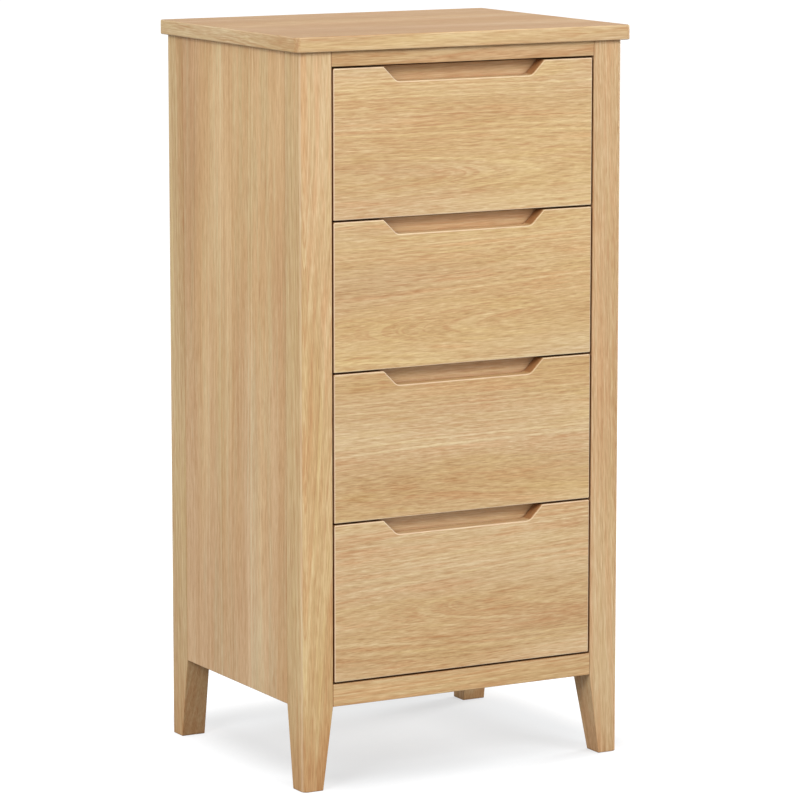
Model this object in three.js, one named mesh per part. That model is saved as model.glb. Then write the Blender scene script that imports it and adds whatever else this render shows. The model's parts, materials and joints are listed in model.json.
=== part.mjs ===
// Tall chest of four drawers in natural oak, standing on four tapered legs.
// Millimetres, +Z up, the drawers open towards -Y. The origin is on the floor, under the top's centre.
import * as THREE from 'three';

// Overall size and the top board
const HEIGHT = 1000;
const TOP_WIDTH = 508;
const TOP_DEPTH = 402;
const TOP_THICKNESS = 20;
const TOP_FRONT_RADIUS = 8;
const TOP_REAR_RADIUS = 2;
const OVERHANG_SIDE = 10;
const OVERHANG_FRONT = 7;
const OVERHANG_REAR = 2;

// Legs: each runs from the floor to the top, and tapers below the case
const LEG_DEPTH = 46;
const FRONT_LEG_WIDTH = 45;
const REAR_LEG_WIDTH = 35;
const TAPER_HEIGHT = 112;
const FRONT_FOOT_WIDTH = 30;
const FRONT_FOOT_DEPTH = 30;
const REAR_FOOT_DEPTH = 28;
const FRONT_LEG_RADIUS = 8;
const REAR_LEG_RADIUS = 2;

// Boards between the legs
const SIDE_THICKNESS = 18;
const RAIL_THICKNESS = 20;
const TOP_RAIL_HEIGHT = 20;
const BOTTOM_RAIL_HEIGHT = 30;
const REAR_TOP_RAIL_HEIGHT = 50;
const REAR_BOTTOM_RAIL_HEIGHT = 40;
const BACK_THICKNESS = 6;
const BACK_INSET = 6;
const BASE_THICKNESS = 6;
const BASE_RISE = 12;

// Drawer fronts, set in flush, with the same gap all round
const DRAWERS = 4;
const GAP = 2.5;
const FRONT_HEIGHT = 198;
const FRONT_THICKNESS = 20;

// Finger notch in the top edge of each front, with 45 degree ends
const NOTCH_WIDTH = 244;
const NOTCH_HEIGHT = 20;
const NOTCH_FILLET = 12;

// Drawer box behind the front
const RUNNER_SPACE = 13;
const BOX_LENGTH = 350;
const BOX_WALL = 12;
const BOX_ABOVE_FRONT_EDGE = 12;
const BOX_BELOW_FRONT_TOP = 3;
const BOX_BOTTOM_THICKNESS = 6;
const BOX_BOTTOM_RISE = 8;

// Side-mounted steel runners: a channel on the case holds a narrower one on the drawer
const RUNNER_LENGTH = 345;
const RUNNER_FRONT_SETBACK = 3;
const RUNNER_SHEET = 1.25;
const RUNNER_DEPTH = 9.75;
const CASE_RUNNER_HEIGHT = 35;
const DRAWER_RUNNER_HEIGHT = 30;
const RUNNER_ABOVE_FRONT_EDGE = 62;

// Places that follow from the sizes above
const UNDER_TOP = HEIGHT - TOP_THICKNESS;
const CASE_HALF_WIDTH = TOP_WIDTH / 2 - OVERHANG_SIDE;
const CASE_FRONT = -TOP_DEPTH / 2 + OVERHANG_FRONT;
const CASE_REAR = TOP_DEPTH / 2 - OVERHANG_REAR;
const SIDE_FRONT = CASE_FRONT + LEG_DEPTH;
const SIDE_REAR = CASE_REAR - LEG_DEPTH;
const SIDE_INNER = CASE_HALF_WIDTH - SIDE_THICKNESS;
const OPENING_HALF_WIDTH = CASE_HALF_WIDTH - FRONT_LEG_WIDTH;
const REAR_HALF_WIDTH = CASE_HALF_WIDTH - REAR_LEG_WIDTH;
const OPENING_TOP = UNDER_TOP - TOP_RAIL_HEIGHT;
const OPENING_BOTTOM = TAPER_HEIGHT + BOTTOM_RAIL_HEIGHT;
const FRONT_HALF_WIDTH = OPENING_HALF_WIDTH - GAP;
const FRONT_REAR_FACE = CASE_FRONT + FRONT_THICKNESS;
const BOX_HALF_WIDTH = OPENING_HALF_WIDTH - RUNNER_SPACE;
const BOX_REAR = FRONT_REAR_FACE + BOX_LENGTH;
const SIDES = [['left', -1], ['right', 1]];

const FINISHES = {
  oak: { color: 0xd1b083, roughness: 0.55, metalness: 0 },
  drawer_oak: { color: 0xd6b98e, roughness: 0.6, metalness: 0 },
  plywood: { color: 0xd9c29b, roughness: 0.65, metalness: 0 },
  steel: { color: 0xb8babd, roughness: 0.35, metalness: 1 },
};

const chest = new THREE.Group();

function addPiece(name, finish, geometry) {
  const mesh = new THREE.Mesh(geometry, new THREE.MeshStandardMaterial(FINISHES[finish]));
  mesh.name = name;
  chest.add(mesh);
  return mesh;
}

// A plain board between two values on each axis
function addBoard(name, finish, x, y, z) {
  const geometry = new THREE.BoxGeometry(x[1] - x[0], y[1] - y[0], z[1] - z[0]);
  const mesh = addPiece(name, finish, geometry);
  mesh.position.set((x[0] + x[1]) / 2, (y[0] + y[1]) / 2, (z[0] + z[1]) / 2);
  return mesh;
}

// The same stretch on the left (side -1) or right (side 1) of the middle
function mirrored(side, inner, outer) {
  return side < 0 ? [-outer, -inner] : [inner, outer];
}

// A closed solid through outlines of equal length, one for each height, counter-clockwise from above
function loft(sections) {
  const count = sections[0].outline.length;
  const positions = sections.flatMap(({ z, outline }) => outline.flatMap(([x, y]) => [x, y, z]));
  const faces = [];
  for (let level = 0; level < sections.length - 1; level += 1) {
    for (let i = 0; i < count; i += 1) {
      const low = level * count + i;
      const lowNext = level * count + (i + 1) % count;
      faces.push(low, lowNext, lowNext + count, low, lowNext + count, low + count);
    }
  }
  const lid = (sections.length - 1) * count;
  for (let i = 1; i < count - 1; i += 1) {
    faces.push(0, i + 1, i);
    faces.push(lid, lid + i, lid + i + 1);
  }
  const geometry = new THREE.BufferGeometry();
  geometry.setAttribute('position', new THREE.Float32BufferAttribute(positions, 3));
  geometry.setIndex(faces);
  return geometry;
}

// A leg's section at one height: three square corners and a rounded outer one
function legOutline(sideX, sideY, width, depth, radius) {
  const steps = 6;
  const arc = [];
  for (let i = 0; i <= steps; i += 1) {
    const angle = (Math.PI / 2) * (i / steps);
    arc.push([radius - radius * Math.sin(angle), radius - radius * Math.cos(angle)]);
  }
  const corner = [...arc, [0, depth], [width, depth], [width, 0]];
  const outerY = sideY < 0 ? CASE_FRONT : CASE_REAR;
  const placed = corner.map(([x, y]) => [sideX * (CASE_HALF_WIDTH - x), outerY - sideY * y]);
  return sideX * sideY < 0 ? placed : placed.reverse();
}

function addLeg(name, sideX, sideY, width, radius, footWidth, footDepth) {
  const full = legOutline(sideX, sideY, width, LEG_DEPTH, radius);
  const foot = legOutline(sideX, sideY, footWidth, footDepth, radius);
  addPiece(name, 'oak', loft([
    { z: 0, outline: foot },
    { z: TAPER_HEIGHT, outline: full },
    { z: UNDER_TOP, outline: full },
  ]));
}

function addTop() {
  const x = TOP_WIDTH / 2;
  const y = TOP_DEPTH / 2;
  const front = TOP_FRONT_RADIUS;
  const rear = TOP_REAR_RADIUS;
  const outline = new THREE.Shape();
  outline.absarc(x - front, -y + front, front, -Math.PI / 2, 0);
  outline.absarc(x - rear, y - rear, rear, 0, Math.PI / 2);
  outline.absarc(-x + rear, y - rear, rear, Math.PI / 2, Math.PI);
  outline.absarc(-x + front, -y + front, front, Math.PI, 1.5 * Math.PI);
  const geometry = new THREE.ExtrudeGeometry(outline, {
    depth: TOP_THICKNESS, bevelEnabled: false, curveSegments: 6,
  });
  addPiece('top_panel', 'oak', geometry).position.z = UNDER_TOP;
}

function addCase() {
  addTop();
  for (const [label, side] of SIDES) {
    addLeg(`front_${label}_leg`, side, -1, FRONT_LEG_WIDTH, FRONT_LEG_RADIUS, FRONT_FOOT_WIDTH, FRONT_FOOT_DEPTH);
    addLeg(`rear_${label}_leg`, side, 1, REAR_LEG_WIDTH, REAR_LEG_RADIUS, REAR_LEG_WIDTH, REAR_FOOT_DEPTH);
    addBoard(`${label}_side_panel`, 'oak', mirrored(side, SIDE_INNER, CASE_HALF_WIDTH),
      [SIDE_FRONT, SIDE_REAR], [TAPER_HEIGHT, UNDER_TOP]);
    addBoard(`${label}_runner_stile`, 'oak', mirrored(side, OPENING_HALF_WIDTH, REAR_HALF_WIDTH),
      [SIDE_REAR, CASE_REAR - RAIL_THICKNESS], [TAPER_HEIGHT, UNDER_TOP]);
  }
  const betweenFrontLegs = [-OPENING_HALF_WIDTH, OPENING_HALF_WIDTH];
  const betweenRearLegs = [-REAR_HALF_WIDTH, REAR_HALF_WIDTH];
  const frontRail = [CASE_FRONT, CASE_FRONT + RAIL_THICKNESS];
  const rearRail = [CASE_REAR - RAIL_THICKNESS, CASE_REAR];
  const backPanel = [CASE_REAR - BACK_INSET - BACK_THICKNESS, CASE_REAR - BACK_INSET];
  const rearBottomRailTop = TAPER_HEIGHT + REAR_BOTTOM_RAIL_HEIGHT;
  const rearTopRailBottom = UNDER_TOP - REAR_TOP_RAIL_HEIGHT;
  addBoard('top_front_rail', 'oak', betweenFrontLegs, frontRail, [OPENING_TOP, UNDER_TOP]);
  addBoard('bottom_front_rail', 'oak', betweenFrontLegs, frontRail, [TAPER_HEIGHT, OPENING_BOTTOM]);
  addBoard('top_rear_rail', 'oak', betweenRearLegs, rearRail, [rearTopRailBottom, UNDER_TOP]);
  addBoard('bottom_rear_rail', 'oak', betweenRearLegs, rearRail, [TAPER_HEIGHT, rearBottomRailTop]);
  addBoard('back_panel', 'plywood', betweenRearLegs, backPanel, [rearBottomRailTop, rearTopRailBottom]);
  addBasePanel();
}

// The panel that closes the case from below, cut out round the four legs
function addBasePanel() {
  const front = CASE_FRONT + RAIL_THICKNESS;
  const rear = CASE_REAR - RAIL_THICKNESS;
  const outline = new THREE.Shape();
  outline.moveTo(-OPENING_HALF_WIDTH, front);
  outline.lineTo(OPENING_HALF_WIDTH, front);
  outline.lineTo(OPENING_HALF_WIDTH, SIDE_FRONT);
  outline.lineTo(SIDE_INNER, SIDE_FRONT);
  outline.lineTo(SIDE_INNER, SIDE_REAR);
  outline.lineTo(OPENING_HALF_WIDTH, SIDE_REAR);
  outline.lineTo(OPENING_HALF_WIDTH, rear);
  outline.lineTo(-OPENING_HALF_WIDTH, rear);
  outline.lineTo(-OPENING_HALF_WIDTH, SIDE_REAR);
  outline.lineTo(-SIDE_INNER, SIDE_REAR);
  outline.lineTo(-SIDE_INNER, SIDE_FRONT);
  outline.lineTo(-OPENING_HALF_WIDTH, SIDE_FRONT);
  const geometry = new THREE.ExtrudeGeometry(outline, { depth: BASE_THICKNESS, bevelEnabled: false });
  addPiece('base_panel', 'plywood', geometry).position.z = TAPER_HEIGHT + BASE_RISE;
}

// A drawer front, with its finger notch open at the top edge
function addDrawerFront(name, bottom, top) {
  const height = top - bottom;
  const floor = height - NOTCH_HEIGHT;
  const mouth = NOTCH_WIDTH / 2;
  const tangent = NOTCH_FILLET * Math.tan(Math.PI / 8);
  const filletX = mouth - NOTCH_HEIGHT - tangent;
  const filletY = floor + NOTCH_FILLET;
  const outline = new THREE.Shape();
  outline.moveTo(-FRONT_HALF_WIDTH, 0);
  outline.lineTo(FRONT_HALF_WIDTH, 0);
  outline.lineTo(FRONT_HALF_WIDTH, height);
  outline.lineTo(mouth, height);
  outline.absarc(filletX, filletY, NOTCH_FILLET, -Math.PI / 4, -Math.PI / 2, true);
  outline.absarc(-filletX, filletY, NOTCH_FILLET, -Math.PI / 2, -0.75 * Math.PI, true);
  outline.lineTo(-mouth, height);
  outline.lineTo(-FRONT_HALF_WIDTH, height);
  const geometry = new THREE.ExtrudeGeometry(outline, {
    depth: FRONT_THICKNESS, bevelEnabled: false, curveSegments: 6,
  });
  geometry.rotateX(Math.PI / 2);
  addPiece(name, 'oak', geometry).position.set(0, FRONT_REAR_FACE, bottom);
}

// A steel channel that runs front to back: its web is at webX, and its lips reach depth towards the other
function addRunner(name, webX, direction, height, middleZ) {
  const x = (distance) => webX + direction * distance;
  const half = height / 2;
  const corners = [
    [x(0), -half], [x(RUNNER_DEPTH), -half], [x(RUNNER_DEPTH), -half + RUNNER_SHEET],
    [x(RUNNER_SHEET), -half + RUNNER_SHEET], [x(RUNNER_SHEET), half - RUNNER_SHEET],
    [x(RUNNER_DEPTH), half - RUNNER_SHEET], [x(RUNNER_DEPTH), half], [x(0), half],
  ];
  const outline = new THREE.Shape(corners.map(([cx, cy]) => new THREE.Vector2(cx, cy)));
  const geometry = new THREE.ExtrudeGeometry(outline, { depth: RUNNER_LENGTH, bevelEnabled: false });
  geometry.rotateX(Math.PI / 2);
  const rear = FRONT_REAR_FACE + RUNNER_FRONT_SETBACK + RUNNER_LENGTH;
  addPiece(name, 'steel', geometry).position.set(0, rear, middleZ);
}

function addDrawer(number, bottom, top) {
  const name = `drawer_${number}`;
  const low = bottom + BOX_ABOVE_FRONT_EDGE;
  const high = top - BOX_BELOW_FRONT_TOP;
  const insideHalf = BOX_HALF_WIDTH - BOX_WALL;
  const insideFront = FRONT_REAR_FACE + BOX_WALL;
  const insideRear = BOX_REAR - BOX_WALL;
  const runnerZ = bottom + RUNNER_ABOVE_FRONT_EDGE;
  addDrawerFront(`${name}_front`, bottom, top);
  addBoard(`${name}_inner_front`, 'drawer_oak', [-BOX_HALF_WIDTH, BOX_HALF_WIDTH],
    [FRONT_REAR_FACE, insideFront], [low, top]);
  addBoard(`${name}_back`, 'drawer_oak', [-BOX_HALF_WIDTH, BOX_HALF_WIDTH], [insideRear, BOX_REAR], [low, high]);
  addBoard(`${name}_bottom`, 'plywood', [-insideHalf, insideHalf], [insideFront, insideRear],
    [low + BOX_BOTTOM_RISE, low + BOX_BOTTOM_RISE + BOX_BOTTOM_THICKNESS]);
  for (const [label, side] of SIDES) {
    addBoard(`${name}_${label}_side`, 'drawer_oak', mirrored(side, insideHalf, BOX_HALF_WIDTH),
      [insideFront, insideRear], [low, high]);
    addRunner(`${name}_${label}_runner`, side * BOX_HALF_WIDTH, side, DRAWER_RUNNER_HEIGHT, runnerZ);
    addRunner(`case_${label}_runner_${number}`, side * OPENING_HALF_WIDTH, -side, CASE_RUNNER_HEIGHT, runnerZ);
  }
}

// Drawer 1 is at the top. The last front is as tall as the space that is left.
function addDrawers() {
  let top = OPENING_TOP - GAP;
  for (let number = 1; number <= DRAWERS; number += 1) {
    const bottom = number < DRAWERS ? top - FRONT_HEIGHT : OPENING_BOTTOM + GAP;
    addDrawer(number, bottom, top);
    top = bottom - GAP;
  }
}

addCase();
addDrawers();

export default chest;
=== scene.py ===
"""Looks for the tall oak chest of drawers: bevelled solid-wood boards, drawer boxes and steel runners.

Metres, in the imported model's frame: +Z up, the drawers open towards -Y.
"""
import json
import math
import random

import bmesh
import bpy
import numpy as np
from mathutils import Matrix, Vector


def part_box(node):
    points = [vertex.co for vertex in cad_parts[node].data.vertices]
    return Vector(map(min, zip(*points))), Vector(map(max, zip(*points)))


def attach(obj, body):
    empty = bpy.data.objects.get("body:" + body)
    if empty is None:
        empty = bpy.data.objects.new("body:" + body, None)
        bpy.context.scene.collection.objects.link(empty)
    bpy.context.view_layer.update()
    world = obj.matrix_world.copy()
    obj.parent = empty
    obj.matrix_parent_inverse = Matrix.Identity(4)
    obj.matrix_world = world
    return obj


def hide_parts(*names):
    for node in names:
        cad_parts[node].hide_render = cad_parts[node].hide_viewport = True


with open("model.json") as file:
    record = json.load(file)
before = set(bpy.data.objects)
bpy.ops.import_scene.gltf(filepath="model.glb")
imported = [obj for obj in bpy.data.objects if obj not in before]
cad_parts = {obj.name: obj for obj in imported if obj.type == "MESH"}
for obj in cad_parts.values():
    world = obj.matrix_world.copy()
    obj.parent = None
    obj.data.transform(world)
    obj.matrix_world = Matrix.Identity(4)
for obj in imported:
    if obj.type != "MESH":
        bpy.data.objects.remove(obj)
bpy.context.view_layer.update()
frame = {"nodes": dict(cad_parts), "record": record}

MM = 0.001
AXES = X, Y, Z = range(3)
SIDES = (("left", -1), ("right", 1))
DRAWERS = range(1, 5)

# Camera: a long lens, in front of the chest and to its left, looking slightly down
CAMERA_PLACE = (-2.731, -4.950, 1.385)
CAMERA_AZIMUTH = -28.97
CAMERA_PITCH = 9.08
CAMERA_LENS = 187.5
CAMERA_SENSOR = 36
CAMERA_FAR_CLIP = 100

# Lamps: where each stands, how wide it is, and its watts. All of them face one point
LAMP_TARGET = (0, 0, 0.6)
LAMPS = {
    "key": ((1.6, -3.4, 3.0), 1.6, 74),
    "fill": ((-3.6, -2.2, 2.6), 1.6, 86),
    "rim": ((3.6, 0.9, 1.7), 1.2, 110),
}

# World: its light round the sides and overhead, and how far up one fades into the other
WALL_LIGHT = 0.83
CEILING_LIGHT = 0.62
CEILING_FADE = (0.35, 0.75)

# Floor: how far it reaches, how far it lies under the feet, its colour, the glow that keeps it pale, and the
# lower glow of the painted shadow under the chest
FLOOR_REACH = 40
FLOOR_DROP = 0.2 * MM
FLOOR_COLOUR = (0.30, 0.31, 0.32, 1)
FLOOR_ROUGHNESS = 0.9
FLOOR_GLOW = 0.86
FLOOR_GLOW_IN_PAINTED_SHADOW = 0.565

# The painted shadow under the chest, a soft patch of less glow, and a painted lift of glow where the chest's
# own shadow
# is deepest: on each axis the middle, how far it is at its full from there, and how far away it has gone
PAINTED_SHADOW_PATCH = {"X": (40 * MM, 200 * MM, 320 * MM), "Y": (48 * MM, 175 * MM, 330 * MM)}
PAINTED_LIFT_PATCH = {"X": (-20 * MM, 20 * MM, 250 * MM), "Y": (50 * MM, 0, 230 * MM)}
PAINTED_LIFT = 0.13

# How far the edges of the pieces are eased, and how sharp an edge has to be for that
ARRIS = 0.9 * MM
FRONT_ARRIS = 1.5 * MM
TOP_ARRIS = 2.0 * MM
SHEET_ARRIS = 0.45 * MM
EASED_DEGREES = 30
SHARP_SHADING_DEGREES = 50

# The arris layer: above 0 an edge is paler, below 0 it takes the end grain's colour. Every eased edge gets
# painted shade, for the joints between boards; the top's and the fronts' edges are paler from wear and a
# painted highlight, the fronts' upward edges more so towards the right as a painted highlight; the front
# posts' rounded corners get a painted highlight;
# the notch ends get painted shade, partly end grain; the fronts of the rear feet get painted shade
EASED_EDGE_SHADE = -0.3
TOP_WEAR_AND_HIGHLIGHT = 0.03
FRONT_WEAR_AND_HIGHLIGHT = 0.40
FRONT_HIGHLIGHT_LEAN = 0.6
NOTCH_END_SHADE = -0.9
POST_CORNER_HIGHLIGHT = 0.20
REAR_FOOT_SHADE = -0.30

# Rounded corners seen from above, and the fillets in the floor of a drawer's notch
FRONT_CORNER = 8 * MM
REAR_CORNER = 2 * MM
CORNER_STEPS = 10
SMALL_CORNER_STEPS = 4
NOTCH_FILLET = 12 * MM
NOTCH_FILLET_STEPS = 8

# Runners: the sheet they are bent from, and where the screws stand along their length
SHEET = 1.25 * MM
SCREW_SHARES = (0.07, 0.36, 0.65, 0.93)

# Screw heads: their size, and the section of the dome and its cross recess, in shares of it
SCREW_RADIUS = 3.2 * MM
SCREW_HEIGHT = 1.4 * MM
SCREW_STEPS = 16
SCREW_DOME = ((1.0, 0.0), (0.98, 0.35), (0.80, 0.80), (0.50, 1.0))
SCREW_RECESS = ((0.0, 1.0), (0.0, 0.35))
RECESS_ARM = 0.44
RECESS_WAIST = 0.13

# Screws that hold the back panel and the drawer fronts: how far they stand from the edges and the middle
BACK_SCREW_INSET = 16 * MM
BACK_SCREW_SHARES = (0.26, 0.5, 0.74)
FRONT_SCREW_REACH = 125 * MM
FRONT_SCREW_RISE = 42 * MM

# Where the random draws of each kind of piece start
SEEDS = {
    "top_panel": 11, "front_leg": 21, "rear_leg": 31, "side_panel": 41, "runner_stile": 51,
    "top_front_rail": 61, "bottom_front_rail": 62, "top_rear_rail": 63, "bottom_rear_rail": 64,
    "back_panel": 71, "base_panel": 72, "back_panel_screws": 81,
    "drawer_front": 100, "drawer_box": 200, "drawer_runner": 300, "case_runner": 302, "front_screws": 400,
}
SEEDS_PER_DRAWER = 10

# What sets each kind of board apart: how light (shade), how rosy (blush) and how striped it is, the painted
# shade that darkens its foot or its top, which way its ends' lips run, and which way it faces if it is
# flat-sawn
NATURES = {
    "top_panel": {"lipped": Y, "painted_top_shade": -0.31, "shade": -0.07, "blush": 0.01},
    "front_leg": {"striped": 0.2, "painted_foot_shade": -0.26, "blush": 0.02, "shade": -0.02},
    "rear_leg": {"striped": 0.2, "painted_foot_shade": -0.26, "blush": 0.02, "shade": 0.06},
    "side_panel": {"striped": 0.5, "shade": 0.05, "blush": 0.18},
    # The top front rail's shade is painted shade under the top's overhang
    "top_front_rail": {"shade": -0.30},
    "bottom_front_rail": {"shade": -0.08, "blush": 0.10},
    "drawer_front": {"flat_axis": Y, "blush": -0.02},
    "inner_front": {"shade": 0.12},
}

# Painted light: the fronts are lightest at the top. The change from one to the next, and the number with no
# change
FRONT_PAINTED_LIGHT_STEP = 0.035
FRONT_PAINTED_LIGHT_MIDDLE = 2.5


# ---------------------------------------------------------------- nodes

class Nodes:
    """The node tree of a material or a world, with one short call for each kind of node."""

    def __init__(self, owner, surface="Principled BSDF"):
        owner.use_nodes = True
        self.owner = owner
        self.tree = owner.node_tree
        self.surface = self.tree.nodes[surface]

    def node(self, kind, **settings):
        made = self.tree.nodes.new(kind)
        for key, value in settings.items():
            setattr(made, key, value)
        return made

    def put(self, socket, value):
        """Sets a socket to a constant, or links it to another node's output."""
        if isinstance(value, bpy.types.NodeSocket):
            self.tree.links.new(value, socket)
        else:
            socket.default_value = value

    def attribute(self, name, output="Vector"):
        return self.node("ShaderNodeAttribute", attribute_name=name).outputs[output]

    def coordinates(self, output):
        return self.node("ShaderNodeTexCoord").outputs[output]

    def camera_ray(self):
        return self.node("ShaderNodeLightPath").outputs["Is Camera Ray"]

    def split(self, vector):
        """The three parts of a vector, by the names X, Y and Z."""
        made = self.node("ShaderNodeSeparateXYZ")
        self.put(made.inputs[0], vector)
        return made.outputs

    def vector(self, operation, a, b):
        made = self.node("ShaderNodeVectorMath", operation=operation)
        self.put(made.inputs[0], a)
        self.put(made.inputs[1], b)
        return made.outputs["Value" if operation == "LENGTH" else "Vector"]

    def math(self, operation, a, b=0.0, clamp=False):
        made = self.node("ShaderNodeMath", operation=operation, use_clamp=clamp)
        self.put(made.inputs[0], a)
        self.put(made.inputs[1], b)
        return made.outputs[0]

    def product(self, first, *others):
        for other in others:
            first = self.math("MULTIPLY", first, other)
        return first

    def noise(self, where, stretch, detail, roughness, output="Fac"):
        """Noise with so many repeats in a metre along each part of the coordinates."""
        made = self.node("ShaderNodeTexNoise")
        self.put(made.inputs["Vector"], self.vector("MULTIPLY", where, stretch))
        return self.tuned(made, detail, roughness).outputs[output]

    def noise_line(self, where, scale, detail, roughness):
        """Noise along one number, such as the distance from a board's pith."""
        made = self.node("ShaderNodeTexNoise", noise_dimensions="1D")
        self.put(made.inputs["W"], self.math("MULTIPLY", where, scale))
        return self.tuned(made, detail, roughness).outputs["Fac"]

    @staticmethod
    def tuned(noise, detail, roughness):
        noise.inputs["Scale"].default_value = 1.0
        noise.inputs["Detail"].default_value = detail
        noise.inputs["Roughness"].default_value = roughness
        return noise

    def ramp(self, value, stops):
        made = self.node("ShaderNodeValToRGB")
        elements = made.color_ramp.elements
        while len(elements) < len(stops):
            elements.new(0.5)
        for element, (position, colour) in zip(elements, stops):
            element.position = position
            element.color = (*colour, 1)
        self.put(made.inputs["Fac"], value)
        return made.outputs["Color"]

    def range(self, value, low, high, to_low=0.0, to_high=1.0):
        """A smooth step from one level to another."""
        made = self.node("ShaderNodeMapRange", interpolation_type="SMOOTHSTEP")
        for socket, number in zip(made.inputs[1:5], (low, high, to_low, to_high)):
            socket.default_value = number
        self.put(made.inputs[0], value)
        return made.outputs[0]

    def mix(self, share, a, b, blend="MIX"):
        made = self.node("ShaderNodeMix", data_type="RGBA", blend_type=blend)
        self.put(made.inputs["Factor"], share)
        self.put(made.inputs[6], a)
        self.put(made.inputs[7], b)
        return made.outputs[2]

    def tint(self, share, colour, by):
        return self.mix(share, colour, (*by, 1), "MULTIPLY")

    def cover(self, share, colour, by):
        return self.mix(share, colour, (*by, 1))

    def bump(self, height, strength, distance):
        made = self.node("ShaderNodeBump")
        made.inputs["Strength"].default_value = strength
        made.inputs["Distance"].default_value = distance
        self.put(made.inputs["Height"], height)
        self.put(self.surface.inputs["Normal"], made.outputs["Normal"])


# ---------------------------------------------------------------- camera, floor and light

def add_object(name, data):
    made = bpy.data.objects.new(name, data)
    bpy.context.scene.collection.objects.link(made)
    return made


def add_camera():
    camera = add_object("camera", bpy.data.cameras.new("camera"))
    camera.location = CAMERA_PLACE
    camera.rotation_euler = (math.radians(90 - CAMERA_PITCH), 0, math.radians(CAMERA_AZIMUTH))
    camera.data.lens = CAMERA_LENS
    camera.data.sensor_width = CAMERA_SENSOR
    camera.data.clip_end = CAMERA_FAR_CLIP
    bpy.context.scene.camera = camera


def add_lamp(name, place, size, power):
    lamp = add_object(name, bpy.data.lights.new(name, "AREA"))
    lamp.data.shape = "SQUARE"
    lamp.data.size = size
    lamp.data.energy = power
    lamp.location = place
    lamp.rotation_euler = (Vector(LAMP_TARGET) - Vector(place)).to_track_quat("-Z", "Y").to_euler()


def add_world():
    """A pale studio, brighter round the sides than overhead, that looks plain white behind the chest."""
    n = Nodes(bpy.data.worlds.new("studio"), "Background")
    height = n.split(n.coordinates("Generated"))["Z"]
    light = n.range(height, *CEILING_FADE, WALL_LIGHT, CEILING_LIGHT)
    n.put(n.surface.inputs["Strength"], n.math("MAXIMUM", light, n.camera_ray()))
    n.surface.inputs["Color"].default_value = (1, 1, 1, 1)
    bpy.context.scene.world = n.owner


def soft_box(n, place, spans):
    """1 on the floor near the middle of the spans, and 0 beyond them."""
    shares = []
    for axis, (middle, within, beyond) in spans.items():
        away = n.math("ABSOLUTE", n.math("SUBTRACT", place[axis], middle))
        shares.append(n.range(away, within, beyond, 1, 0))
    return n.product(*shares)


def floor_material():
    """Pale and matt. Only the camera sees its glow, so the glow lights nothing. Under the chest the glow dips
    in a painted shadow, with a painted lift where the chest's own shadow is deepest.
    """
    n = Nodes(bpy.data.materials.new("pale_floor"))
    n.surface.inputs["Base Color"].default_value = FLOOR_COLOUR
    n.surface.inputs["Roughness"].default_value = FLOOR_ROUGHNESS
    n.surface.inputs["Specular IOR Level"].default_value = 0.0
    n.surface.inputs["Emission Color"].default_value = (1, 1, 1, 1)
    place = n.split(n.coordinates("Object"))
    # Painted shadow: less glow in a soft patch under the chest, and a painted lift where its own shadow is
    # deepest
    painted_shadow = n.product(soft_box(n, place, PAINTED_SHADOW_PATCH), FLOOR_GLOW - FLOOR_GLOW_IN_PAINTED_SHADOW)
    painted_lift = n.product(soft_box(n, place, PAINTED_LIFT_PATCH), PAINTED_LIFT)
    glow = n.math("ADD", n.math("SUBTRACT", FLOOR_GLOW, painted_shadow), painted_lift)
    n.put(n.surface.inputs["Emission Strength"], n.product(n.camera_ray(), glow))
    return n.owner


def add_floor():
    mesh = bpy.data.meshes.new("floor")
    corners = [(x * FLOOR_REACH, y * FLOOR_REACH, 0) for x, y in ((-1, -1), (1, -1), (1, 1), (-1, 1))]
    mesh.from_pydata(corners, [], [(0, 1, 2, 3)])
    mesh.materials.append(floor_material())
    floor = add_object("floor", mesh)
    floor.location.z = -FLOOR_DROP


def add_studio():
    add_camera()
    add_world()
    add_floor()
    for name, (place, size, power) in LAMPS.items():
        add_lamp(name, place, size, power)
    settings = bpy.context.scene.view_settings
    settings.view_transform = "Standard"
    settings.look = "None"


# ---------------------------------------------------------------- materials

def linear(red, green, blue):
    """A display colour, 0 to 255, as the linear values that the nodes hold."""
    return tuple(((c / 255 + 0.055) / 1.055) ** 2.4 for c in (red, green, blue))


# Wood species: the darkest, middle and lightest tone, the flecks' colour, and how strong the grain is
WOODS = {
    "oak": ((180, 136, 86), (210, 177, 129), (232, 208, 163), (190, 136, 88), 1.0),
    "drawer_oak": ((178, 136, 92), (203, 168, 125), (223, 196, 156), (186, 134, 90), 0.9),
    "plywood": ((186, 150, 106), (212, 182, 140), (228, 204, 168), (192, 148, 102), 0.8),
}

# Tints that multiply the wood's colour in places
ROSY = (1.04, 0.938, 0.905)
STRAW = (1.0, 1.0, 0.92)
COOL = (0.985, 0.995, 1.06)
GOLDEN = (1.005, 0.995, 0.95)
# Painted shade, multiplied in where another surface is near
PAINTED_CREVICE_SHADE = (0.50, 0.32, 0.20)

# Colours of cut ends, also used for painted shade on edges, and of worn edges, also used for painted
# highlights
END_GRAIN_AND_SHADE = linear(168, 118, 74)
WORN_AND_HIGHLIGHT = linear(252, 232, 202)
END_GRAIN_SHARE = 0.8

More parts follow.
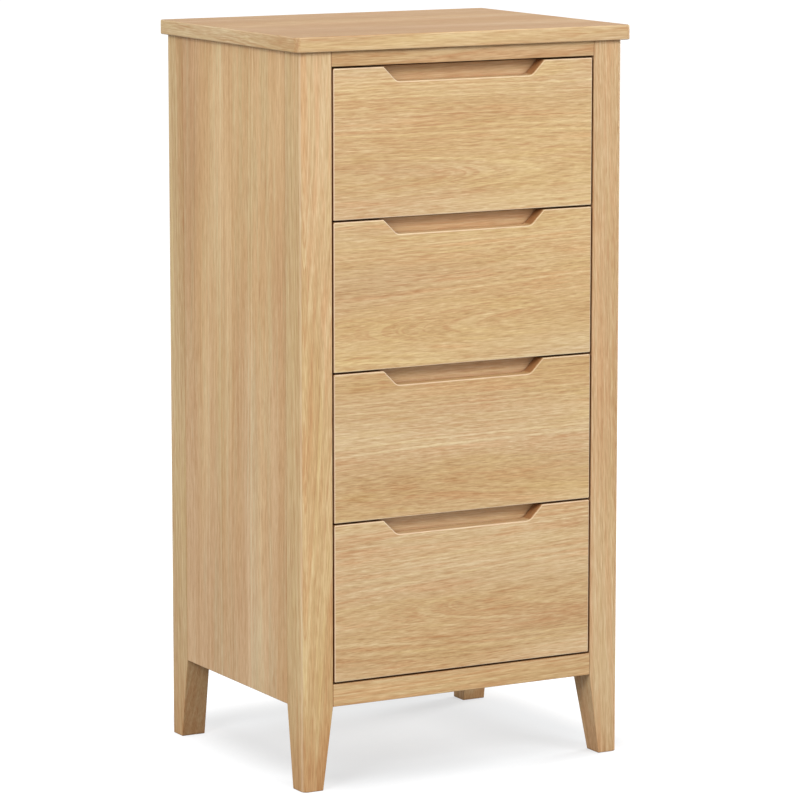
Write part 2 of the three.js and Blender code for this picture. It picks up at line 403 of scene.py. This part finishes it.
# Noise: repeats in a metre along the board and in two directions across it, detail, roughness
WOOD_NOISE = {
    "wander": ((1.7, 8.0, 8.0), 1.0, 0.5),
    "ripple": ((5, 36, 36), 2.0, 0.5),
    "ribbons": ((2.2, 80, 80), 2.0, 0.5),
    "strands": ((6, 270, 270), 2.0, 0.6),
    "fibres": ((34, 820, 820), 2.0, 0.6),
    "clouds": ((1.4, 13, 13), 2.0, 0.5),
    "stripes": ((0.5, 28, 28), 2.0, 0.5),
    "blush": ((3.2, 60, 60), 4.0, 0.75),
    "blush_stripes": ((0.6, 24, 24), 2.0, 0.5),
    "warmth": ((1.1, 11, 11), 2.0, 0.5),
    "line_breaks": ((38, 620, 620), 2.0, 0.6),
    "line_areas": ((3, 18, 18), 1.0, 0.5),
    "flecks": ((16, 330, 330), 2.0, 0.55),
    "fleck_areas": ((5, 24, 24), 1.0, 0.5),
    "pores": ((60, 2100, 2100), 1.0, 0.5),
}

# The rings' noise runs outwards from the pith: repeats in a metre, detail, roughness
RINGS = (230, 3.0, 0.6)

# How far the grain wanders and ripples out of line
WANDER_REACH = 14 * MM
RIPPLE_REACH = 1.8 * MM

# How much each pattern counts for in the wood's light and dark
TONE_WEIGHTS = {
    "rings": 0.60, "ribbons": 0.30, "strands": 0.26, "fibres": 1.45, "clouds": 0.85, "stripes": 1.8,
}
STRIPED_CALMS_FIBRES = 0.5

# Where each pattern starts to show, and where it shows in full
SHOWS = {
    "rosy": (0.48, 0.74), "straw": (0.52, 0.28), "warmth": (0.36, 0.64),
    "line_breaks": (0.38, 0.60), "line_areas": (0.44, 0.62),
    "flecks": (0.54, 0.70), "fleck_areas": (0.38, 0.62), "pores": (0.60, 0.74),
}

# How far from a ring's middle its dark line fades, and how strong the other patterns are
RING_LINE = (0.012, 0.075)
BLUSH_STRIPES_WEIGHT = 1.2
BLUSH_RINGS_WEIGHT = 0.40
LINE_STRENGTH = 0.55
FLECK_STRENGTH = 0.55
PORE_STRENGTH = 0.28

# Painted shade in crevices: how near another surface has to be, and how open and how closed they have to look
CREVICE_REACH = 6 * MM
CREVICE_SAMPLES = 8
CREVICE_RANGE = (0.10, 0.80)

# Finish: the roughness between a dark and a light tone, and the relief of grain and pores: strength and depth
WOOD_ROUGHNESS_TONES = (0.2, 0.8)
WOOD_ROUGHNESS = (0.52, 0.42)
WOOD_SPECULAR = 0.45
WOOD_RELIEF_OF_TONE = 0.4
WOOD_RELIEF = (0.20, 0.10 * MM)

# Steel: streaks along the sheet and mottle, how they mix, the colours and roughness over the tones, relief
STEEL_STREAKS = ((14, 1100, 1100), 2.0, 0.5)
STEEL_MOTTLE = ((60, 60, 60), 3.0, 0.5)
STEEL_STREAK_SHARE = 0.6
STEEL_DARK = (168, 172, 176)
STEEL_LIGHT = (206, 209, 211)
STEEL_TONES = (0.3, 0.7)
STEEL_ROUGHNESS = (0.24, 0.40)
STEEL_RELIEF = (0.15, 0.05 * MM)


def wood_noise(n, name, place, output="Fac"):
    stretch, detail, roughness = WOOD_NOISE[name]
    return n.noise(place, stretch, detail, roughness, output)


def shown(n, name, place):
    """A pattern's share at each point: 0 where it doesn't show, and 1 where it shows in full."""
    return n.range(wood_noise(n, name, place), *SHOWS[name])


def wandering_place(n):
    """The board's own coordinates, bent so that the grain isn't ruler-straight."""
    place = n.attribute("wood")
    for name, reach in (("wander", WANDER_REACH), ("ripple", RIPPLE_REACH)):
        bend = n.vector("SUBTRACT", wood_noise(n, name, place, "Color"), (0.5, 0.5, 0.5))
        place = n.vector("ADD", place, n.vector("MULTIPLY", bend, (0, reach, reach)))
    return place


def wood_tone(n, place, rings, board, contrast):
    """The wood's light and dark, from 0 to 1. The board's X is how light it is, and its Z how striped."""
    parts = {name: wood_noise(n, name, place) for name in TONE_WEIGHTS if name != "rings"}
    calm = n.math("SUBTRACT", 1.0, n.product(board["Z"], STRIPED_CALMS_FIBRES))
    parts["rings"] = rings
    parts["fibres"] = n.product(parts["fibres"], calm)
    parts["stripes"] = n.product(parts["stripes"], board["Z"])
    tone = 0.5
    for name, weight in TONE_WEIGHTS.items():
        tone = n.math("ADD", tone, n.product(parts[name], weight * contrast))
    steady = sum(weight for name, weight in TONE_WEIGHTS.items() if name != "stripes")
    striped = TONE_WEIGHTS["stripes"] - STRIPED_CALMS_FIBRES * TONE_WEIGHTS["fibres"]
    tone = n.math("SUBTRACT", tone, 0.5 * contrast * steady)
    tone = n.math("SUBTRACT", tone, n.product(board["Z"], 0.5 * contrast * striped))
    return n.math("ADD", tone, board["X"], clamp=True)


def blushed(n, place, rings, board, colour):
    """The colour, rosier in some streaks and more like straw in others. The board's Y is how rosy it is."""
    blush = n.math("ADD", wood_noise(n, "blush", place), board["Y"])
    bands = n.math("SUBTRACT", wood_noise(n, "blush_stripes", place), 0.5)
    blush = n.math("ADD", blush, n.product(bands, n.product(board["Z"], BLUSH_STRIPES_WEIGHT)))
    blush = n.math("ADD", blush, n.product(n.math("SUBTRACT", 0.5, rings), BLUSH_RINGS_WEIGHT))
    colour = n.tint(n.range(blush, *SHOWS["rosy"]), colour, ROSY)
    colour = n.tint(n.range(blush, *SHOWS["straw"]), colour, STRAW)
    warmth = n.mix(shown(n, "warmth", place), (*COOL, 1), (*GOLDEN, 1))
    return n.mix(1.0, colour, warmth, "MULTIPLY")


def ring_lines(n, place, rings):
    """The broken dark lines where a year's growth ends."""
    late_wood = n.range(n.math("ABSOLUTE", n.math("SUBTRACT", rings, 0.5)), *RING_LINE, 1.0, 0.0)
    return n.product(late_wood, shown(n, "line_breaks", place), shown(n, "line_areas", place))


def with_edge_marks_and_crevice_shade(n, colour):
    """The colour after cut ends, the arris layer's worn edges, painted highlights and painted shade, and the
    painted shade in crevices.
    """
    colour = n.cover(n.product(n.attribute("end_grain", "Fac"), END_GRAIN_SHARE), colour, END_GRAIN_AND_SHADE)
    arris = n.attribute("arris", "Fac")
    colour = n.cover(n.math("MULTIPLY", arris, 1.0, clamp=True), colour, WORN_AND_HIGHLIGHT)
    colour = n.cover(n.math("MULTIPLY", arris, -1.0, clamp=True), colour, END_GRAIN_AND_SHADE)
    # Painted shade in crevices: darker where the ambient occlusion finds another surface near
    occlusion = n.node("ShaderNodeAmbientOcclusion", samples=CREVICE_SAMPLES)
    occlusion.inputs["Distance"].default_value = CREVICE_REACH
    return n.tint(n.range(occlusion.outputs["AO"], *CREVICE_RANGE, 1.0, 0.0), colour, PAINTED_CREVICE_SHADE)


def wood_material(name, dark, middle, light, fleck, contrast):
    """Wood whose rings, fibres, flecks and pores follow the board's own "wood" coordinates."""
    n = Nodes(bpy.data.materials.new(name))
    place = wandering_place(n)
    board = n.split(n.attribute("board"))
    from_pith = n.vector("LENGTH", n.vector("MULTIPLY", place, (0, 1, 1)), (0, 0, 0))
    rings = n.noise_line(from_pith, *RINGS)
    tone = wood_tone(n, place, rings, board, contrast)
    colour = n.ramp(tone, ((0.0, dark), (0.5, middle), (1.0, light)))
    colour = blushed(n, place, rings, board, colour)
    colour = n.cover(n.product(ring_lines(n, place, rings), LINE_STRENGTH * contrast), colour, fleck)
    flecks = n.product(shown(n, "flecks", place), shown(n, "fleck_areas", place))
    colour = n.cover(n.product(flecks, FLECK_STRENGTH * contrast), colour, fleck)
    pores = shown(n, "pores", place)
    colour = n.cover(n.product(pores, PORE_STRENGTH * contrast), colour, dark)
    n.put(n.surface.inputs["Base Color"], with_edge_marks_and_crevice_shade(n, colour))
    n.put(n.surface.inputs["Roughness"], n.range(tone, *WOOD_ROUGHNESS_TONES, *WOOD_ROUGHNESS))
    n.surface.inputs["Specular IOR Level"].default_value = WOOD_SPECULAR
    n.bump(n.math("SUBTRACT", n.product(tone, WOOD_RELIEF_OF_TONE), pores), *WOOD_RELIEF)
    return n.owner


def steel_material():
    """Zinc-plated sheet steel, rolled along the runner."""
    n = Nodes(bpy.data.materials.new("zinc_steel"))
    place = n.attribute("wood")
    rolled = n.noise(place, *STEEL_STREAKS)
    mottle = n.noise(place, *STEEL_MOTTLE)
    tone = n.math("ADD", n.product(rolled, STEEL_STREAK_SHARE), n.product(mottle, 1 - STEEL_STREAK_SHARE))
    low, high = STEEL_TONES
    colour = n.ramp(tone, ((low, linear(*STEEL_DARK)), (high, linear(*STEEL_LIGHT))))
    n.put(n.surface.inputs["Base Color"], colour)
    n.surface.inputs["Metallic"].default_value = 1.0
    n.put(n.surface.inputs["Roughness"], n.range(tone, *STEEL_TONES, *STEEL_ROUGHNESS))
    n.bump(rolled, *STEEL_RELIEF)
    return n.owner


def make_materials():
    made = {}
    for name, (*tones, contrast) in WOODS.items():
        made[name] = wood_material(name, *[linear(*tone) for tone in tones], contrast)
    made["runner_steel"] = steel_material()
    return made


# ---------------------------------------------------------------- pieces

def body_of_node(node):
    for body, members in frame["record"]["behaviour"]["bodies"].items():
        if node in members:
            return body
    raise KeyError(node)


def slot_of_node(node):
    for entry in frame["record"]["subparts"]:
        if entry["node"] == node:
            return entry["material_slot"]
    raise KeyError(node)


# Where the middle of the tree ran beside a board: how far off in metres, and how much it leans along it.
# A flat-sawn board lies close in front of it, so that its face shows arches
PITH_DISTANCE = (0.10, 0.16)
PITH_LEAN = (-0.05, 0.05)
FLAT_BEHIND = (0.034, 0.050)
FLAT_BEHIND_LEAN = (0.04, 0.07)
FLAT_BESIDE = (0.02, 0.06)
FLAT_BESIDE_LEAN = (-0.02, 0.02)

# How much boards of one kind differ, and how far along its own wood each one starts
SHADE_SPREAD = (-0.03, 0.03)
BLUSH_SPREAD = (-0.04, 0.04)
BOARD_START = (2, 40)
USUAL_STRIPES = 0.1

# How square to the grain a lipped face is, how end grain comes in, and how level a top is. A foot's painted
# shade makes it rosier by this share
LIPPED_FACE = 0.7
END_GRAIN_FALLOFF = 1.5
TOP_FACE = 0.9
FOOT_BLUSH = 0.8


def pith_line(dice, others, flat_axis):
    """Where the middle of the tree ran beside the board: two distances, and how much each leans."""
    if flat_axis is None:
        angle = dice.uniform(0, 2 * math.pi)
        distance = dice.uniform(*PITH_DISTANCE)
        away = (distance * math.cos(angle), distance * math.sin(angle))
        return away, (dice.uniform(*PITH_LEAN), dice.uniform(*PITH_LEAN))
    behind = (dice.uniform(*FLAT_BEHIND), dice.choice((-1, 1)) * dice.uniform(*FLAT_BEHIND_LEAN))
    beside = (dice.uniform(*FLAT_BESIDE), dice.uniform(*FLAT_BESIDE_LEAN))
    pairs = (behind, beside) if others[0] == flat_axis else (beside, behind)
    return (pairs[0][0], pairs[1][0]), (pairs[0][1], pairs[1][1])


def other_axes(axis):
    return [i for i in AXES if i != axis]


def below_case(height):
    """Whether a height is under the side panels, where the legs stand free."""
    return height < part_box("left_side_panel")[0].z - 1 * MM


def add_layer(mesh, name, kind, domain, field, values):
    mesh.attributes.new(name, kind, domain).data.foreach_set(field, values)


def grain_coordinates(mesh, axis, seed, lipped=None, striped=USUAL_STRIPES, shade=0.0, blush=0.0,
                      painted_foot_shade=0.0, painted_top_shade=0.0, flat_axis=None):
    """Gives every face corner a place in its board: along the grain, then two across it, from the pith.

    The "board" layer holds what sets the board apart: how light it is, with painted shade on a foot and on a
    top's upward faces, how rosy, and how striped.
    """
    dice = random.Random(seed)
    corners = len(mesh.loops)
    points = np.zeros(len(mesh.vertices) * 3)
    mesh.vertices.foreach_get("co", points)
    points = points.reshape(-1, 3)
    centre = (points.min(0) + points.max(0)) / 2
    vertex = np.zeros(corners, int)
    mesh.loops.foreach_get("vertex_index", vertex)
    place = np.zeros((corners, 3))
    upward = np.zeros(corners)
    end_grain = np.zeros(len(mesh.polygons))
    start = dice.uniform(*BOARD_START)
    away, lean = pith_line(dice, other_axes(axis), flat_axis)
    for face in mesh.polygons:
        along = lipped if lipped is not None and abs(face.normal[axis]) > LIPPED_FACE else axis
        loops = slice(face.loop_start, face.loop_start + face.loop_total)
        local = points[vertex[loops]] - centre
        place[loops, 0] = local[:, along] + start
        for i, other in enumerate(other_axes(along)):
            place[loops, i + 1] = local[:, other] + away[i] + lean[i] * local[:, along]
        upward[loops] = face.normal.z > TOP_FACE
        end_grain[face.index] = abs(face.normal[along]) ** END_GRAIN_FALLOFF
    nature = np.tile((shade + dice.uniform(*SHADE_SPREAD), blush + dice.uniform(*BLUSH_SPREAD), striped),
                     (corners, 1))
    # Painted shade: the legs below the case are darker and rosier, and a top's upward faces darker
    foot = below_case(points[vertex, 2])
    nature[:, 0] += painted_foot_shade * foot
    nature[:, 1] -= FOOT_BLUSH * painted_foot_shade * foot
    nature[:, 0] += painted_top_shade * upward
    add_layer(mesh, "wood", "FLOAT_VECTOR", "CORNER", "vector", place.ravel())
    add_layer(mesh, "end_grain", "FLOAT", "FACE", "value", end_grain)
    add_layer(mesh, "board", "FLOAT_VECTOR", "CORNER", "vector", nature.ravel())


def add_piece(name, bm, node, axis, seed, stands_for=True, slot=None, **nature):
    """Turns a bmesh into a piece on a CAD node's body, which stands for that node unless told not to."""
    bmesh.ops.recalc_face_normals(bm, faces=bm.faces)
    mesh = bpy.data.meshes.new(name)
    bm.to_mesh(mesh)
    bm.free()
    mesh.polygons.foreach_set("use_smooth", [True] * len(mesh.polygons))
    mesh.set_sharp_from_angle(angle=math.radians(SHARP_SHADING_DEGREES))
    grain_coordinates(mesh, axis, seed, **nature)
    piece = add_object(name, mesh)
    piece.modifiers.new("flat_faces_stay_flat", "WEIGHTED_NORMAL").keep_sharp = True
    slot = slot or slot_of_node(node)
    mesh.materials.append(MATERIALS[slot])
    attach(piece, body_of_node(node))
    if stands_for:
        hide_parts(node)


def ease_edges(bm, amount, segments=2, edge_mark=EASED_EDGE_SHADE):
    """Rounds the edges where two faces meet at a clear angle, and gives back the layer of their wear, painted
    highlights and painted shade.
    """
    arris = bm.faces.layers.float.new("arris")
    edges = [e for e in bm.edges if e.calc_face_angle(0) > math.radians(EASED_DEGREES)]
    rounded = bmesh.ops.bevel(bm, geom=edges, offset=amount, offset_type="OFFSET", segments=segments,
                              profile=0.5, affect="EDGES", clamp_overlap=True)
    for face in rounded["faces"]:
        face[arris] = edge_mark
    return bm.faces.layers.float["arris"]


def join_rings(bm, rings):
    """Walls between each ring of points and the next, and a flat face over the first and the last."""
    for lower, upper in zip(rings, rings[1:]):
        for i in range(len(lower)):
            j = (i + 1) % len(lower)
            bm.faces.new((lower[i], lower[j], upper[j], upper[i]))
    bm.faces.new(rings[0])
    bm.faces.new(rings[-1])


def extruded_mesh(outline, axis, low, high):
    """A prism: the outline lies across the axis, and reaches from low to high along it."""
    bm = bmesh.new()
    rings = []
    for level in (low, high):
        rings.append([bm.verts.new((*point[:axis], level, *point[axis:])) for point in outline])
    join_rings(bm, rings)
    bmesh.ops.recalc_face_normals(bm, faces=bm.faces)
    return bm


def arc(centre, radius, start, end, steps):
    """Points on an arc, its angles in degrees."""
    angles = [math.radians(start + (end - start) * i / steps) for i in range(steps + 1)]
    return [(centre[0] + radius * math.cos(a), centre[1] + radius * math.sin(a)) for a in angles]


def solid_mesh(node):
    """The node's own solid, with each flat side as one face."""
    bm = bmesh.new()
    bm.from_mesh(frame["nodes"][node].data)
    bmesh.ops.remove_doubles(bm, verts=bm.verts, dist=0.01 * MM)
    bmesh.ops.dissolve_limit(bm, angle_limit=math.radians(1), verts=bm.verts, edges=bm.edges)
    return bm


def add_board(node, axis, seed, **nature):
    """A CAD board with its edges eased."""
    bm = solid_mesh(node)
    ease_edges(bm, ARRIS)
    add_piece(node + "_board", bm, node, axis, seed, **nature)


def screw_head(bm, centre, axis, side):
    """A domed head with a cross recess, standing off along one axis."""
    rings = []
    for share, rise in SCREW_DOME + SCREW_RECESS:
        ring = []
        for i in range(SCREW_STEPS):
            angle = 2 * math.pi * i / SCREW_STEPS
            reach = share or (RECESS_ARM if i % 4 == 0 else RECESS_WAIST)
            offset = [reach * SCREW_RADIUS * math.cos(angle), reach * SCREW_RADIUS * math.sin(angle)]
            offset.insert(axis, side * rise * SCREW_HEIGHT)
            ring.append(bm.verts.new(Vector(centre) + Vector(offset)))
        rings.append(ring)
    join_rings(bm, rings)


def add_rear_screws(name, node, places, seed):
    """Steel screw heads on the rear face of a board, which move with the board."""
    bm = bmesh.new()
    for place in places:
        screw_head(bm, place, Y, 1)
    add_piece(name, bm, node, Y, seed, stands_for=False, slot="runner_steel")


# ---------------------------------------------------------------- case

def cad_section(node, height):
    """The lowest and highest corners of a CAD node's points at one height."""
    points = [v.co for v in frame["nodes"][node].data.vertices if abs(v.co.z - height) < 0.5 * MM]
    low = Vector(min(p[i] for p in points) for i in AXES)
    high = Vector(max(p[i] for p in points) for i in AXES)
    return low, high


def leg_outline(low, high, side_x, side_y, radius):
    """A leg's section with its outer corner rounded."""
    outer_x, inner_x = (high.x, low.x) if side_x > 0 else (low.x, high.x)
    outer_y, inner_y = (high.y, low.y) if side_y > 0 else (low.y, high.y)
    centre = (outer_x - side_x * radius, outer_y - side_y * radius)
    start = 0 if side_x > 0 else 180
    end = 270 if side_x < 0 and side_y < 0 else 90 * side_y
    corner = arc(centre, radius, start, end, CORNER_STEPS)
    return corner + [(inner_x, outer_y), (inner_x, inner_y), (outer_x, inner_y)]


def on_rounded_corner(face, side_x):
    """Whether a front post's face is on its rounded outer corner."""
    return 0.80 < side_x * face.normal.x < 0.99 and abs(face.normal.z) < 0.1


def on_front_of_foot(face):
    """Whether a rear post's face looks forward, below the case."""
    return face.normal.y < -0.9 and below_case(face.calc_center_median().z)


def add_leg(label, side_x, end, number):
    """A post from the floor to the top, tapered below the case."""
    kind = f"{end}_leg"
    node = f"{end}_{label}_leg"
    low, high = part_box(node)
    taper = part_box("left_side_panel")[0].z
    rear = end == "rear"
    side_y = 1 if rear else -1
    bm = bmesh.new()
    rings = []
    for height in (low.z, taper, high.z):
        section = cad_section(node, height)
        outline = leg_outline(*section, side_x, side_y, REAR_CORNER if rear else FRONT_CORNER)
        rings.append([bm.verts.new((x, y, height)) for x, y in outline])
    join_rings(bm, rings)
    bmesh.ops.recalc_face_normals(bm, faces=bm.faces)
    edge_marks = ease_edges(bm, ARRIS)
    # Painted shade on the fronts of the rear feet, and a painted highlight on the front posts' rounded
    # corners
    for face in bm.faces:
        if rear and on_front_of_foot(face):
            face[edge_marks] = REAR_FOOT_SHADE
        elif not rear and on_rounded_corner(face, side_x):
            face[edge_marks] = POST_CORNER_HIGHLIGHT
    add_piece(node + "_post", bm, node, Z, SEEDS[kind] + number, **NATURES[kind])


def add_top():
    low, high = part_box("top_panel")
    corners = (
        (high.x, low.y, -90, FRONT_CORNER, CORNER_STEPS),
        (high.x, high.y, 0, REAR_CORNER, SMALL_CORNER_STEPS),
        (low.x, high.y, 90, REAR_CORNER, SMALL_CORNER_STEPS),
        (low.x, low.y, 180, FRONT_CORNER, CORNER_STEPS),
    )
    outline = []
    for x, y, start, radius, steps in corners:
        centre = (x - math.copysign(radius, x), y - math.copysign(radius, y))
        outline += arc(centre, radius, start, start + 90, steps)
    bm = extruded_mesh(outline, Z, low.z, high.z)
    # The top's edges are a little paler, from wear and a painted highlight
    ease_edges(bm, TOP_ARRIS, 3, edge_mark=TOP_WEAR_AND_HIGHLIGHT)
    add_piece("top_panel_board", bm, "top_panel", X, SEEDS["top_panel"], **NATURES["top_panel"])


def add_back_screws():
    """Screws round the back panel's edge, from the rear."""
    low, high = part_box("back_panel")
    across = [low.x + BACK_SCREW_INSET, 0, high.x - BACK_SCREW_INSET]
    upward = [low.z + BACK_SCREW_INSET, high.z - BACK_SCREW_INSET]
    places = [(x, high.y, z) for x in across for z in upward]
    for share in BACK_SCREW_SHARES:
        height = low.z + share * (high.z - low.z)
        places += [(across[0], high.y, height), (across[-1], high.y, height)]
    add_rear_screws("back_panel_screws", "back_panel", places, SEEDS["back_panel_screws"])


def add_case():
    add_top()
    for number, (label, side) in enumerate(SIDES):
        add_leg(label, side, "front", number)
        add_leg(label, side, "rear", number)
        add_board(f"{label}_side_panel", Z, SEEDS["side_panel"] + number, **NATURES["side_panel"])
        add_board(f"{label}_runner_stile", Z, SEEDS["runner_stile"] + number)
    for node in ("top_front_rail", "bottom_front_rail", "top_rear_rail", "bottom_rear_rail"):
        add_board(node, X, SEEDS[node], **NATURES.get(node, {}))
    add_board("back_panel", Z, SEEDS["back_panel"])
    add_back_screws()
    add_board("base_panel", X, SEEDS["base_panel"])


# ---------------------------------------------------------------- drawers

def notch_of(node):
    """The half-width of a front's notch at its mouth, and the height of its floor, from the CAD."""
    low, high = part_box(node)
    points = [v.co for v in frame["nodes"][node].data.vertices]
    mouth = min(abs(p.x) for p in points if high.z - p.z < 0.1 * MM)
    floor = min(p.z for p in points if p.z > (low.z + high.z) / 2)
    return mouth, floor


def on_upper_edge(face, edge_marks):
    """Whether a drawer front's face is an eased edge that looks up."""
    return face[edge_marks] > 0 and face.normal.z > 0.2


def on_notch_end(face):
    """Whether a drawer front's face is one of the slanting ends of its notch."""
    return 0.5 < abs(face.normal.x) < 0.9 and abs(face.normal.y) < 0.1


def add_drawer_front(number):
    node = f"drawer_{number}_front"
    low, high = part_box(node)
    mouth, floor = notch_of(node)
    tangent = NOTCH_FILLET * math.tan(math.pi / 8)
    fillet_x = mouth - (high.z - floor) - tangent
    fillet_z = floor + NOTCH_FILLET
    outline = ([(low.x, low.z), (high.x, low.z), (high.x, high.z), (mouth, high.z)]
               + arc((fillet_x, fillet_z), NOTCH_FILLET, -45, -90, NOTCH_FILLET_STEPS)
               + arc((-fillet_x, fillet_z), NOTCH_FILLET, -90, -135, NOTCH_FILLET_STEPS)
               + [(-mouth, high.z), (low.x, high.z)])
    bm = extruded_mesh(outline, Y, low.y, high.y)
    edge_marks = ease_edges(bm, FRONT_ARRIS, 3, edge_mark=FRONT_WEAR_AND_HIGHLIGHT)
    # Painted highlight: upward edges paler towards the right; painted shade, partly end grain, on the notch's
    # slanting ends
    for face in bm.faces:
        if on_upper_edge(face, edge_marks):
            face[edge_marks] += FRONT_HIGHLIGHT_LEAN * face.normal.x
        elif on_notch_end(face):
            face[edge_marks] = NOTCH_END_SHADE
    seed = SEEDS["drawer_front"] + number
    # Painted light: the upper fronts are lighter than the lower ones
    shade = FRONT_PAINTED_LIGHT_STEP * (FRONT_PAINTED_LIGHT_MIDDLE - number)
    add_piece(node + "_board", bm, node, X, seed, shade=shade, **NATURES["drawer_front"])


def add_front_screws(number):
    """Four screws that hold a drawer's front, on the rear of the inner front."""
    node = f"drawer_{number}_inner_front"
    low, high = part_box(node)
    middle = (low.z + high.z) / 2
    offsets = [(x * FRONT_SCREW_REACH, z * FRONT_SCREW_RISE) for x in (-1, 1) for z in (-1, 1)]
    places = [(x, high.y, middle + z) for x, z in offsets]
    add_rear_screws(f"drawer_{number}_front_screws", node, places, SEEDS["front_screws"] + number)


def add_drawer(number):
    add_drawer_front(number)
    step = SEEDS_PER_DRAWER * number
    seed = SEEDS["drawer_box"] + step
    add_board(f"drawer_{number}_inner_front", X, seed, **NATURES["inner_front"])
    add_front_screws(number)
    for i, (part, axis) in enumerate((("left_side", Y), ("right_side", Y), ("back", X), ("bottom", X)), 1):
        add_board(f"drawer_{number}_{part}", axis, seed + i)
    for i, (label, side) in enumerate(SIDES):
        add_runner(f"drawer_{number}_{label}_runner", -side, SEEDS["drawer_runner"] + step + i)
        add_runner(f"case_{label}_runner_{number}", side, SEEDS["case_runner"] + step + i)


def add_runner(node, web_side, seed):
    """A bent steel channel with the screws that hold its web."""
    low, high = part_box(node)
    bm = solid_mesh(node)
    ease_edges(bm, SHEET_ARRIS)
    web_face = (low.x + SHEET) if web_side < 0 else (high.x - SHEET)
    middle = (low.z + high.z) / 2
    for share in SCREW_SHARES:
        screw_head(bm, (web_face, low.y + share * (high.y - low.y), middle), X, -web_side)
    add_piece(node + "_channel", bm, node, Y, seed)


add_studio()
MATERIALS = make_materials()
add_case()
for drawer_number in DRAWERS:
    add_drawer(drawer_number)

bpy.context.view_layer.update()
